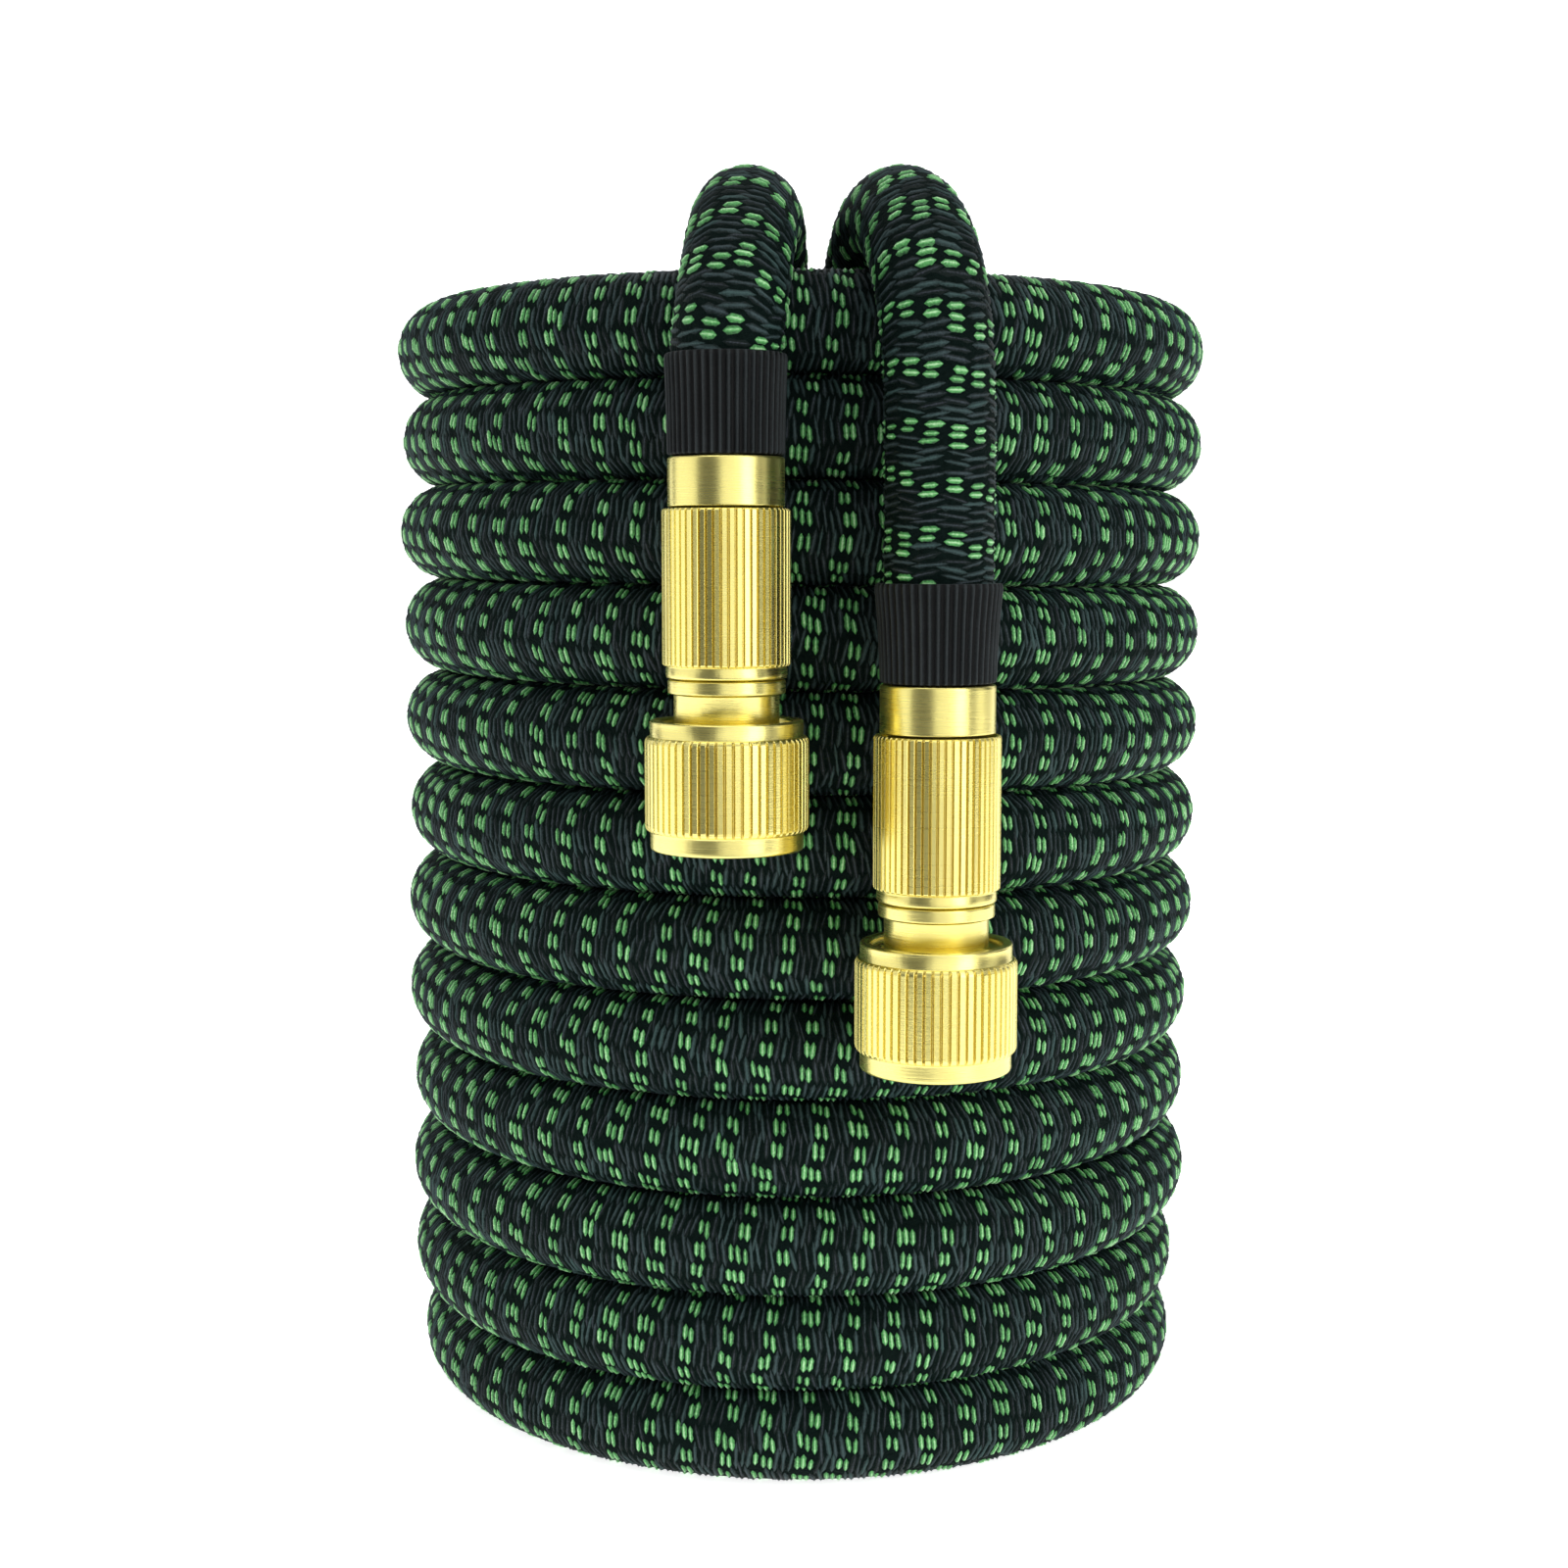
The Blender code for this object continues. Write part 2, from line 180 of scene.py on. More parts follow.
# Off the lowest turn, along the floor under the second one, and up inside the coil to the right collar.
LEAVE_REACH = 0.0240
FLOOR_SLACK = 0.0004
leaves_at = math.atan2(RIGHT_ROUTE[0][1], RIGHT_ROUTE[0][0])
for share in np.linspace(0, 1, 8)[1:-1]:
    angle = STEP_START + (leaves_at - STEP_START) * share
    above = turn_centre(step_level(1, angle), angle)[0]
    reach = smoothly(TURN_HEIGHT, LEAVE_REACH, share)
    drop = min(above - TURN_HEIGHT / 2 - FLOOR_SLACK * share, reach)
    hose_route.append(wall_point(angle, step_level(1, angle), reach, -math.asin(drop / reach)))
hose_route += in_room(RIGHT_ROUTE)

# The line of the hose's middle runs smoothly through all of these points, and the rings of its mesh
# stand on it at even steps.
LINE_CUTS = 12


def smooth_line(points, step):
    """A Catmull-Rom line through the points, cut into even steps, and the length up to each."""
    points = np.array(points)
    ends = np.vstack([2 * points[0] - points[1], points, 2 * points[-1] - points[-2]])
    before, start, end, after = ends[:-3, None], ends[1:-2, None], ends[2:-1, None], ends[3:, None]
    part = (np.arange(LINE_CUTS) / LINE_CUTS)[None, :, None]
    line = 0.5 * (
        2 * start
        + (end - before) * part
        + (2 * before - 5 * start + 4 * end - after) * part ** 2
        + (3 * start - before - 3 * end + after) * part ** 3
    )
    line = np.vstack([line.reshape(-1, 3), points[-1]])
    along = np.concatenate([[0], np.cumsum(np.linalg.norm(np.diff(line, axis=0), axis=1))])
    even = np.linspace(0, along[-1], int(round(along[-1] / step)) + 1)
    return np.stack([np.interp(even, along, line[:, k]) for k in range(3)], axis=1), even


hose_line, hose_along = smooth_line(hose_route, RING_SPACING)
hose_length = float(hose_along[-1])


def unit(rows):
    return rows / np.linalg.norm(rows, axis=-1, keepdims=True)


# Two directions across the hose, carried along it without twist.
heading = unit(np.gradient(hose_line, axis=0))
across = np.zeros_like(heading)
across[0] = (1, 0, 0)
for k in range(1, len(heading)):
    side = across[k - 1] - heading[k] * np.dot(across[k - 1], heading[k])
    across[k] = side / np.linalg.norm(side)
upward = np.cross(heading, across)


def at_length(table, along):
    """A table of one row a ring, read between its rows."""
    return np.stack([np.interp(along, hose_along, table[:, k]) for k in range(table.shape[1])], axis=-1)


def on_hose(along, round_angle, radius):
    """Points on the hose: along it, round it, and at a radius. Nothing goes below the floor."""
    centre = at_length(hose_line, along)
    first = unit(at_length(across, along))
    second = unit(at_length(upward, along))
    turned = np.cos(round_angle)[..., None] * first + np.sin(round_angle)[..., None] * second
    point = centre + turned * np.asarray(radius)[..., None]
    point[..., 2] = np.maximum(point[..., 2], FLOOR_GAP)
    return point


def mesh_piece(name, points, faces, smooth=True):
    """An object from rows of points and a list of arrays of faces, each array of one corner count."""
    mesh = bpy.data.meshes.new(name)
    corners = np.concatenate([part.ravel() for part in faces]).astype(np.int32)
    counts = np.concatenate([np.full(len(part), part.shape[1], np.int32) for part in faces])
    mesh.vertices.add(len(points))
    mesh.vertices.foreach_set("co", np.ascontiguousarray(points, dtype=np.float32).ravel())
    mesh.loops.add(len(corners))
    mesh.loops.foreach_set("vertex_index", corners)
    mesh.polygons.add(len(counts))
    mesh.polygons.foreach_set("loop_start", np.concatenate([[0], np.cumsum(counts)[:-1]]).astype(np.int32))
    mesh.polygons.foreach_set("use_smooth", np.full(len(counts), smooth))
    mesh.update(calc_edges=True)
    mesh.validate()
    piece = bpy.data.objects.new(name, mesh)
    bpy.context.scene.collection.objects.link(piece)
    return piece


def lay_flat(piece, corners):
    """A place in the piece's baked map for each corner of each face."""
    flat = piece.data.uv_layers.new(name="OFBake")
    flat.data.foreach_set("uv", np.ascontiguousarray(corners, dtype=np.float32).ravel())


def tube_faces(rings, sides, closed=False):
    """Four-cornered faces between rings of points, one after the other."""
    ring = np.arange(rings if closed else rings - 1)[:, None]
    side = np.arange(sides)[None, :]
    onward = (ring + 1) % rings
    beside = (side + 1) % sides
    return np.stack(
        [ring * sides + side, ring * sides + beside, onward * sides + beside, onward * sides + side], axis=-1
    ).reshape(-1, 4)


class Field:
    """One output of a material's node, with ordinary arithmetic on it."""

    def __init__(self, socket):
        self.socket = socket

    def node(self, kind, settings, values, output=0):
        """Adds a node to the same material: its settings first, then values or links on its sockets."""
        tree = self.socket.id_data
        made = tree.nodes.new(kind)
        for name, value in settings.items():
            setattr(made, name, value)
        for name, value in values.items():
            if isinstance(value, Field):
                tree.links.new(value.socket, made.inputs[name])
            else:
                made.inputs[name].default_value = value
        return Field(made.outputs[output])

    def math(self, operation, *others):
        return self.node("ShaderNodeMath", {"operation": operation}, dict(enumerate((self,) + others)))

    def __add__(self, other):
        return self.math("ADD", other)

    def __sub__(self, other):
        return self.math("SUBTRACT", other)

    def __rsub__(self, other):
        return self.math("MULTIPLY", -1.0).math("ADD", other)

    def __mul__(self, other):
        return self.math("MULTIPLY", other)

    def __pow__(self, other):
        return self.math("POWER", other)

    __radd__ = __add__
    __rmul__ = __mul__

    def limited(self):
        """Kept between 0 and 1."""
        return self.node("ShaderNodeClamp", {}, {0: self})

    def scaled(self, sizes):
        """A place, stretched along its three axes."""
        return self.node("ShaderNodeVectorMath", {"operation": "MULTIPLY"}, {0: self, 1: sizes})

    def noise(self, scale, detail=2.0):
        """Soft noise about 0.5 at a place."""
        return self.node("ShaderNodeTexNoise", {}, {"Vector": self, "Scale": scale, "Detail": detail})

    def between(self, low, high):
        """A colour, low where this is 0 and high where it is 1."""
        settings = {"data_type": "RGBA"}
        return self.node("ShaderNodeMix", settings, {0: self, 6: low, 7: high}, output=2)

    def measure(self, name):
        """A number that the mesh holds at each of its points."""
        return self.node("ShaderNodeAttribute", {"attribute_name": name}, {}, output=2)


def new_material(name):
    """A material, its shader, and the place on the piece as the first field."""
    material = bpy.data.materials.new(name)
    material.use_nodes = True
    shader = material.node_tree.nodes["Principled BSDF"]
    place = Field(material.node_tree.nodes.new("ShaderNodeTexCoord").outputs["Object"])
    return material, shader, place


def feed(shader, **fields):
    """Links fields to the shader's sockets. A field called Normal is a height, in metres."""
    tree = shader.id_data
    for name, field in fields.items():
        if name == "Normal":
            field = field.node("ShaderNodeBump", {}, {"Distance": 1.0, "Height": field})
        tree.links.new(field.socket, shader.inputs[name.replace("_", " ")])


def set_sockets(shader, values):
    for name, value in values.items():
        shader.inputs[name].default_value = value


ring_along = np.repeat(hose_along, RING_SIDES)
ring_angle = np.tile(np.arange(RING_SIDES) * 2 * math.pi / RING_SIDES, len(hose_along))
ground_points = on_hose(ring_along, ring_angle, np.full(len(ring_along), GROUND_RADIUS))
hose = mesh_piece("hose", ground_points, [tube_faces(len(hose_along), RING_SIDES)])

# For its baked map the hose is cut into strips, one above the other, with a margin round each.
FLAT_STRIPS = 10
MARGIN_U = 0.005
MARGIN_V = 0.04
flat_ring, flat_side = np.divmod(np.arange((len(hose_along) - 1) * RING_SIDES)[:, None], RING_SIDES)
strip_rings = math.ceil((len(hose_along) - 1) / FLAT_STRIPS)
share_along = (flat_ring % strip_rings + np.array([0, 0, 1, 1])) / strip_rings
share_round = (flat_side + np.array([0, 1, 1, 0])) / RING_SIDES
flat_u = MARGIN_U + (1 - 2 * MARGIN_U) * share_along
flat_v = (flat_ring // strip_rings + MARGIN_V + (1 - 2 * MARGIN_V) * share_round) / FLAT_STRIPS
lay_flat(hose, np.stack([flat_u, flat_v], axis=-1))

ground_material, ground_shader, place = new_material("jacket_ground")
# The ground is the black yarn's own colour, painted near-black as the shade down in the gaps between the
# floats, with a faint green tint.
cloth = place.noise(900.0, 3.0)
feed(
    ground_shader,
    Base_Color=cloth.between((0.0004, 0.0034, 0.0024, 1), (0.0060, 0.0130, 0.0115, 1)),
    Roughness=cloth * 0.3 + 0.55,
    Normal=place.noise(1500.0, 2.0) * 0.0006,
)
set_sockets(ground_shader, {"Specular IOR Level": 0.03})
hose.data.materials.append(ground_material)

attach(hose, "hose")
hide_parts("hose_coil", "hose_left_lead", "hose_right_lead")

# The jacket's yarn shows as short pointed floats round the hose, in courses close beside each other.
# Most yarn is black; in every six courses two or three are green, each stepped round a little from the
# one before it, which makes a slow spiral of small green clusters.
COURSES_A_RING = 6
COLUMNS = 13
COIL_COURSE = 0.00134
END_COURSE = 0.00172
FLOAT_LENGTH = 0.0040
FLOAT_HEIGHT = 0.00045
FLOAT_SUNK = 0.00008
YARN_WIDTH = 0.00034
GREEN_TILT = 0.00008
BLACK_TILT = 0.00042
BLACK_STRAY = 0.00020
CLUSTER_STEP = 0.07
WALE_DRIFT = 0.013
YARN_SEED = 20

# The jacket lies loose on the coil, so its courses are closer there than on the two free ends. in_wall
# is 1 in the wound wall and 0 on the ends, and it is evened out over a few rings of the mesh.
WALL_EDGE = 0.008
EVEN_RINGS = 9
outward = hose_line - np.array([0, COIL_AXIS_Y, 0])
wall_gap = np.abs(np.hypot(outward[:, 0], outward[:, 1]) - COIL_RADIUS)
hanging = hose_line[:, 1] < COIL_AXIS_Y - COIL_RADIUS - 0.006
over_top = hose_line[:, 2] > COIL_TOP - 0.004
in_wall = np.where(hanging | over_top, 0.0, np.clip(1.6 - wall_gap / WALL_EDGE, 0, 1))
in_wall = np.pad(in_wall, EVEN_RINGS // 2, mode="edge")
in_wall = np.convolve(in_wall, np.ones(EVEN_RINGS) / EVEN_RINGS, mode="valid")
course_size = END_COURSE + (COIL_COURSE - END_COURSE) * in_wall
courses_along = np.concatenate([[0], np.cumsum(RING_SPACING / course_size)[:-1]])

rng = np.random.default_rng(YARN_SEED)
slope = COURSES_A_RING / COLUMNS
course, column = np.meshgrid(np.arange(int(courses_along[-1]) + 9), np.arange(COLUMNS), indexing="ij")
ring_number = course // COURSES_A_RING
ring_shape = (ring_number.max() + 1, COLUMNS)
cluster_size = rng.choice([2, 2, 2, 3], size=ring_shape)[ring_number, column]
cluster_start = rng.choice([0, 0, 0, 0, 1], size=ring_shape)[ring_number, column]
in_ring = course % COURSES_A_RING - cluster_start
is_green = (in_ring >= 0) & (in_ring < cluster_size)

shape = course.shape
cluster_lift = rng.normal(0, 0.07, ring_shape)[ring_number, column]
placed = course - slope * column + cluster_lift + rng.normal(0, 0.06, shape)
cluster_turn = rng.normal(0, 0.05, ring_shape)[ring_number, column]
stepped = np.where(is_green, (in_ring - (cluster_size - 1) / 2) * CLUSTER_STEP, 0.0) + cluster_turn
strayed = rng.normal(0, 0.045, shape) * np.where(is_green, 1.0, 2.0)
float_angle = (column + WALE_DRIFT * course + stepped + strayed) * 2 * math.pi / COLUMNS
on_it = (placed > 0.8) & (placed < courses_along[-1] - 0.8)
placed, float_angle, is_green, column = (kept[on_it] for kept in (placed, float_angle, is_green, column))
float_along = np.interp(placed, courses_along, hose_along)
float_count = len(placed)
float_tilt = np.where(column % 2 == 0, 1, -1) * np.where(is_green, GREEN_TILT, BLACK_TILT)
float_tilt = float_tilt + rng.normal(0, 1, float_count) * np.where(is_green, GREEN_TILT, BLACK_STRAY)
float_reach = np.where(is_green, rng.uniform(0.84, 1.12, float_count), rng.uniform(0.82, 1.18, float_count))
float_size = np.where(is_green, rng.uniform(0.85, 1.08, float_count), rng.uniform(0.70, 1.10, float_count))
float_tone = rng.uniform(0, 1, float_count)

# The columns lie a little closer on the side that shows, most of all on the two hanging ends.
COIL_CLOSER = 0.03
END_CLOSER = 0.06
spread_here = np.interp(float_along, hose_along, in_wall * (END_CLOSER - COIL_CLOSER) - END_CLOSER)
outward_angle = np.unwrap(
    np.arctan2((outward[:, :2] * upward[:, :2]).sum(1), (outward[:, :2] * across[:, :2]).sum(1))
)
float_angle = float_angle + spread_here * np.sin(
    float_angle - np.interp(float_along, hose_along, outward_angle)
)
course_here = np.interp(float_along, hose_along, course_size)
half_angle = FLOAT_LENGTH / 2 / HOSE_RADIUS

# The eight points of a float: shares of its half length and half width, and of its height. A crown of 1 is
# the ridge's top, and 0 is its foot; the yarn's materials paint a highlight along the crown and shade at the
# foot.
FLOAT_POINTS = (
    (-1.0, 0, 0.2), (-0.5, -1, 0), (-0.5, 0, 1), (-0.5, 1, 0),
    (0.5, -1, 0), (0.5, 0, 1), (0.5, 1, 0), (1.0, 0, 0.2),
)
FLOAT_CROWNS = (0.6, 0, 1, 0, 0, 1, 0, 0.6)
FLAT_HALF_LENGTH = 0.38
FLAT_HALF_WIDTH = 0.35


def add_measure(piece, name, values):
    """A number at each point of the mesh, which the material reads by its name."""
    held = piece.data.attributes.new(name, "FLOAT", "POINT")
    held.data.foreach_set("value", np.ascontiguousarray(values, dtype=np.float32))


def yarn_floats(name, chosen, longer, broader, proud):
    """One mesh of all the chosen floats: each is a low pointed ridge of eight triangles."""
    along = float_along[chosen]
    angle = float_angle[chosen]
    tilt = float_tilt[chosen]
    reach = float_reach[chosen] * longer
    size = float_size[chosen]
    width = (YARN_WIDTH + 0.5 * course_here[chosen]) * size * broader
    rows = []
    for share, side, height in FLOAT_POINTS:
        where = along + tilt * share + side * width / 2
        radius = GROUND_RADIUS - FLOAT_SUNK + height * (FLOAT_HEIGHT * proud * size + FLOAT_SUNK)
        rows.append(on_hose(where, angle + half_angle * share * reach, radius))
    points = np.stack(rows, axis=1).reshape(-1, 3)
    first = np.arange(len(along))[:, None] * len(FLOAT_POINTS)
    triangles = np.concatenate([first + corner for corner in ((0, 2, 3), (0, 1, 2), (7, 6, 5), (7, 5, 4))])
    quads = np.concatenate([first + corner for corner in ((1, 4, 5, 2), (2, 5, 6, 3))])
    piece = mesh_piece(name, points, [triangles, quads])
    cells = math.ceil(math.sqrt(len(along)))
    cell = np.arange(len(along))[:, None]
    flat_u = cell % cells + 0.5 + FLAT_HALF_LENGTH * np.array([share for share, side, height in FLOAT_POINTS])
    flat_v = cell // cells + 0.5 + FLAT_HALF_WIDTH * np.array([side for share, side, height in FLOAT_POINTS])
    corners = np.concatenate([triangles.ravel(), quads.ravel()])
    lay_flat(piece, np.stack([flat_u, flat_v], axis=-1).reshape(-1, 2)[corners] / cells)
    add_measure(piece, "tone", np.repeat(float_tone[chosen], len(FLOAT_POINTS)))
    add_measure(piece, "crown", np.tile(FLOAT_CROWNS, len(along)))
    return piece


def third(number):
    """The floats in one of the three equal lengths of the hose."""
    share = float_along / hose_length * 3
    return (share >= number) & (share < number + 1)


# Each yarn's floats against the plain one: how much longer, broader and prouder they are.
GREEN_FLOAT = (1.00, 1.22, 1.1)
BLACK_FLOAT = (1.72, 1.22, 0.95)
green_yarn = [
    yarn_floats("green_yarn_upper", is_green & (float_along < hose_length / 2), *GREEN_FLOAT),
    yarn_floats("green_yarn_lower", is_green & (float_along >= hose_length / 2), *GREEN_FLOAT),
]
black_yarn = [
    yarn_floats("black_yarn_upper", ~is_green & third(0), *BLACK_FLOAT),
    yarn_floats("black_yarn_middle", ~is_green & third(1), *BLACK_FLOAT),
    yarn_floats("black_yarn_lower", ~is_green & third(2), *BLACK_FLOAT),
]

green_material, green_shader, place = new_material("green_yarn")
tone = place.measure("tone")
crown = place.measure("crown")
strands = place.noise(2600.0, 1.0)
# This mixes each float's own tone and strands with a painted highlight along its ridge's crown and painted
# shade at its foot; the pale top of the colour ramp is the painted highlight, the near-black the painted
# shade.
tone_and_painted_light = (tone * 0.25 + crown ** 2.0 * 0.78 + strands * 0.8 - 0.42).limited()
feed(
    green_shader,
    Base_Color=(tone_and_painted_light * 2.0 - 1.0).limited().between(
        (tone_and_painted_light * 2.0).limited().between((0.002, 0.050, 0.008, 1), (0.085, 0.400, 0.095, 1)),
        (0.560, 0.900, 0.500, 1),
    ),
    Roughness=strands * 0.3 + 0.35,
    Normal=strands * 0.0002,
)
set_sockets(green_shader, {"Sheen Weight": 0.1, "Sheen Roughness": 0.4})

black_material, black_shader, place = new_material("black_yarn")
tone = place.measure("tone")
crown = place.measure("crown")
strands = place.noise(2600.0, 1.0)
patches = place.noise(260.0, 2.0)
# This mixes each float's own tone, strands and patches with a painted highlight along its ridge's crown and
# painted shade at its foot; the grey top colour is the painted highlight, the near-black the painted shade.
tone_and_painted_light = (tone * 0.6 + crown ** 2.0 * 0.9 + strands * 0.8 + patches * 0.8 - 1.25).limited()
pale_tone_and_painted_highlight = tone.between((0.074, 0.082, 0.106, 1), (0.050, 0.095, 0.091, 1))
feed(
    black_shader,
    Base_Color=tone_and_painted_light.between((0.0012, 0.0070, 0.0058, 1), pale_tone_and_painted_highlight),
    Roughness=strands * 0.3 + 0.40,
    Normal=strands * 0.0002,
)
set_sockets(black_shader, {"Specular IOR Level": 0.14})

for piece in green_yarn + black_yarn:
    piece.data.materials.append(green_material if piece in green_yarn else black_material)
    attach(piece, "hose")

# Each fitting's collar is moulded rubber with fine upright ribs, pushed over the hose's end and down
# onto the brass. It is a touch wider at its mouth, where the jacket goes in.
FITTING_Y = -0.09895
FITTINGS = {"left": (-0.0155, 0.2442), "right": (0.0270, 0.1990)}  # x of the axis, z of the collar's top
COLLAR_FLARES = {"left": 0.0005, "right": 0.0011}
COLLAR_FOOT = 0.0118
COLLAR_RIBS = 44
COLLAR_RIB = (
    (0.0, 1.0), (0.14, 0.94), (0.27, 0.66), (0.38, 0.18), (0.5, 0.0), (0.62, 0.18), (0.73, 0.66), (0.86, 0.94)
)
COLLAR_DEPTH = 0.00055
RIB_END_DEPTH = 0.0001
ROUND_SIDES = 96


def turned_piece(name, stations, ribs=0, rib_shape=()):
    """A turned ring of one closed outline, given upward on its outside: each station is a radius, a
    height and a rib depth. A rib's shape is its share of the depth at shares of its pitch. Faces on
    the ribs stay flat, and those between plain stations are smooth."""
    if ribs:
        pitch = 2 * math.pi / ribs
        angle = np.array([(rib + share) * pitch for rib in range(ribs) for share, valley in rib_shape])
        valley = np.tile([valley for share, valley in rib_shape], ribs)
    else:
        angle = np.arange(ROUND_SIDES) * 2 * math.pi / ROUND_SIDES
        valley = np.zeros(ROUND_SIDES)
    rows = []
    hollow = []
    for radius, height, depth in stations:
        reach = radius - depth * valley
        level = np.full(len(angle), height)
        rows.append(np.stack([reach * np.cos(angle), reach * np.sin(angle), level], axis=1))
        hollow.append(valley if depth > RIB_END_DEPTH else 0 * valley)
    points = np.concatenate(rows)
    depths = np.array([depth for radius, height, depth in stations])
    plain = np.repeat((depths == 0) & (np.roll(depths, -1) == 0), len(angle))
    piece = mesh_piece(name, points, [tube_faces(len(stations), len(angle), closed=True)], smooth=plain)
    add_measure(piece, "hollow", np.concatenate(hollow))
    return piece


def place_piece(piece, side, body, *replaced):
    """Puts a fitting's piece on its axis, with its heights counted from the collar's top."""
    x, top = FITTINGS[side]
    shift = np.array([x, FITTING_Y, top])
    mesh = piece.data
    points = np.empty(len(mesh.vertices) * 3, np.float32)
    mesh.vertices.foreach_get("co", points)
    mesh.vertices.foreach_set("co", (points.reshape(-1, 3) + shift).astype(np.float32).ravel())
    mesh.update()
    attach(piece, body)
    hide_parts(*replaced)


def rounded(start, end, from_side=True, points=4):
    """Stations over a rounded edge from one station to another, as a quarter of an ellipse. It leaves
    the start along its radius, or along its height."""
    made = []
    for k in range(points + 1):
        turn = math.pi / 2 * k / points
        quick, slow = math.sin(turn), 1 - math.cos(turn)
        across_share, along_share = (quick, slow) if from_side else (slow, quick)
        made.append((
            start[0] + (end[0] - start[0]) * across_share,
            start[1] + (end[1] - start[1]) * along_share,
            start[2] + (end[2] - start[2]) * k / points,
        ))
    return made


def collar_stations(flare):
    """The collar's outline, which widens by the flare from its foot to its mouth."""
    foot = COLLAR_FOOT
    mouth = COLLAR_FOOT + flare
    return (
        [(0.0108, -0.0199, 0.0)]
        + rounded((foot - 0.0008, -0.0199, 0.0), (foot, -0.0193, COLLAR_DEPTH))
        + [(foot + 0.10 * flare, -0.0150, COLLAR_DEPTH), (foot + 0.42 * flare, -0.0080, COLLAR_DEPTH)]
        + [(foot + 0.9 * flare, -0.0022, COLLAR_DEPTH)]
        + rounded((mouth, -0.0014, COLLAR_DEPTH), (mouth - 0.0004, 0.0, RIB_END_DEPTH), from_side=False)
        + [(0.0117, 0.0, 0.0), (0.0114, -0.0005, 0.0), (0.0112, -0.0016, 0.0), (0.0108, -0.0060, 0.0)]
    )


collar_material, collar_shader, place = new_material("collar_rubber")
grain = place.noise(2200.0, 2.0)
worn = place.noise(120.0, 2.0)
hollow = place.measure("hollow")
# The rubber is painted darker down in its ribs' valleys, as painted shade, and varies at random in tone and
# grain.
feed(
    collar_shader,
    Base_Color=(worn * 0.5 + grain * 0.4 + 0.35 - hollow * 0.9).limited().between(
        (0.0015, 0.0020, 0.0022, 1), (0.032, 0.039, 0.041, 1)
    ),
    Roughness=grain * 0.2 + 0.45,
    Normal=grain * 0.00008,
)
set_sockets(collar_shader, {"Specular IOR Level": 0.15})

for side in FITTINGS:
    stations = collar_stations(COLLAR_FLARES[side])
    collar = turned_piece(f"{side}_collar_moulding", stations, COLLAR_RIBS, COLLAR_RIB)
    place_piece(collar, side, "hose", f"{side}_collar")
    collar.data.materials.append(collar_material)

# The brass is turned on a lathe and left satin: fine rings round the plain bands, and a pale yellow colour
# that is painted darker down in the knurling's valleys, partly as grime and partly as painted shade. The
# connector's body is the first piece of it.
brass_material, brass_shader, place = new_material("satin_brass")
hollow = place.measure("hollow")
lathe = place.scaled((60.0, 60.0, 5200.0)).noise(1.0, 2.0)
cloud = place.noise(70.0, 3.0)
feed(
    brass_shader,
    Base_Color=(hollow * 0.8 + cloud * 0.5 - 0.2).limited().between(
        (0.960, 0.850, 0.290, 1), (0.680, 0.540, 0.140, 1)
    ),
    Roughness=lathe * 0.12 + cloud * 0.10 + 0.17,
    Normal=lathe * 0.00002 + place.noise(900.0, 2.0) * 0.00001,
)
set_sockets(brass_shader, {"Metallic": 1.0})

BODY_STATIONS = (
    [(0.0073, -0.0641, 0.0), (0.0100, -0.0641, 0.0), (0.0100, -0.0301, 0.0)]
    + rounded((0.0113, -0.0301, 0.0), (0.0117, -0.0298, 0.0), points=3)
    + [(0.0117, -0.0296, 0.0), (0.0117, -0.0210, 0.0)]
    + rounded((0.0117, -0.0208, 0.0), (0.0112, -0.0202, 0.0), from_side=False)
    + [(0.0060, -0.0202, 0.0), (0.0060, -0.0060, 0.0), (0.0045, -0.0060, 0.0), (0.0045, -0.0424, 0.0)]
    + [(0.0073, -0.0424, 0.0)]
)

for side in FITTINGS:
    body = turned_piece(f"{side}_body_turning", BODY_STATIONS)
    place_piece(body, side, "hose", f"{side}_connector_body")
    body.data.materials.append(brass_material)

# The release sleeve slides up over the plain ring against its spring. Its straight knurling is
# rolled, so each rib ends in a small round nose, and a plain lip closes its foot.
SLEEVE_RIBS = 54
SLEEVE_DEPTH = 0.00055
BRASS_RIB = (
    (0.05, 1.0), (0.12, 0.60), (0.17, 0.16), (0.22, 0.0), (0.78, 0.0), (0.83, 0.16), (0.88, 0.60), (0.95, 1.0)
)
SLEEVE_STATIONS = (
    [(0.0103, -0.0638, 0.0), (0.0106, -0.0641, 0.0)]
    + rounded((0.0118, -0.0641, 0.0), (0.0122, -0.0637, 0.0), points=3)
    + [(0.0122, -0.0635, 0.0), (0.0122, -0.0621, 0.0), (0.0120, -0.0618, 0.0)]
    + rounded((0.0121, -0.0617, 0.0), (0.0129, -0.0611, SLEEVE_DEPTH))
    + [(0.0129, -0.0608, SLEEVE_DEPTH), (0.0129, -0.0450, SLEEVE_DEPTH), (0.0129, -0.0312, SLEEVE_DEPTH)]
    + rounded((0.0129, -0.0310, SLEEVE_DEPTH), (0.0123, -0.0304, RIB_END_DEPTH), from_side=False)
    + [(0.0120, -0.0306, 0.0), (0.0120, -0.0359, 0.0), (0.0103, -0.0359, 0.0), (0.0103, -0.0365, 0.0)]
)

for side in FITTINGS:
    sleeve = turned_piece(f"{side}_sleeve_turning", SLEEVE_STATIONS, SLEEVE_RIBS, BRASS_RIB)
    place_piece(sleeve, side, f"{side}_sleeve", f"{side}_release_sleeve")
    sleeve.data.materials.append(brass_material)

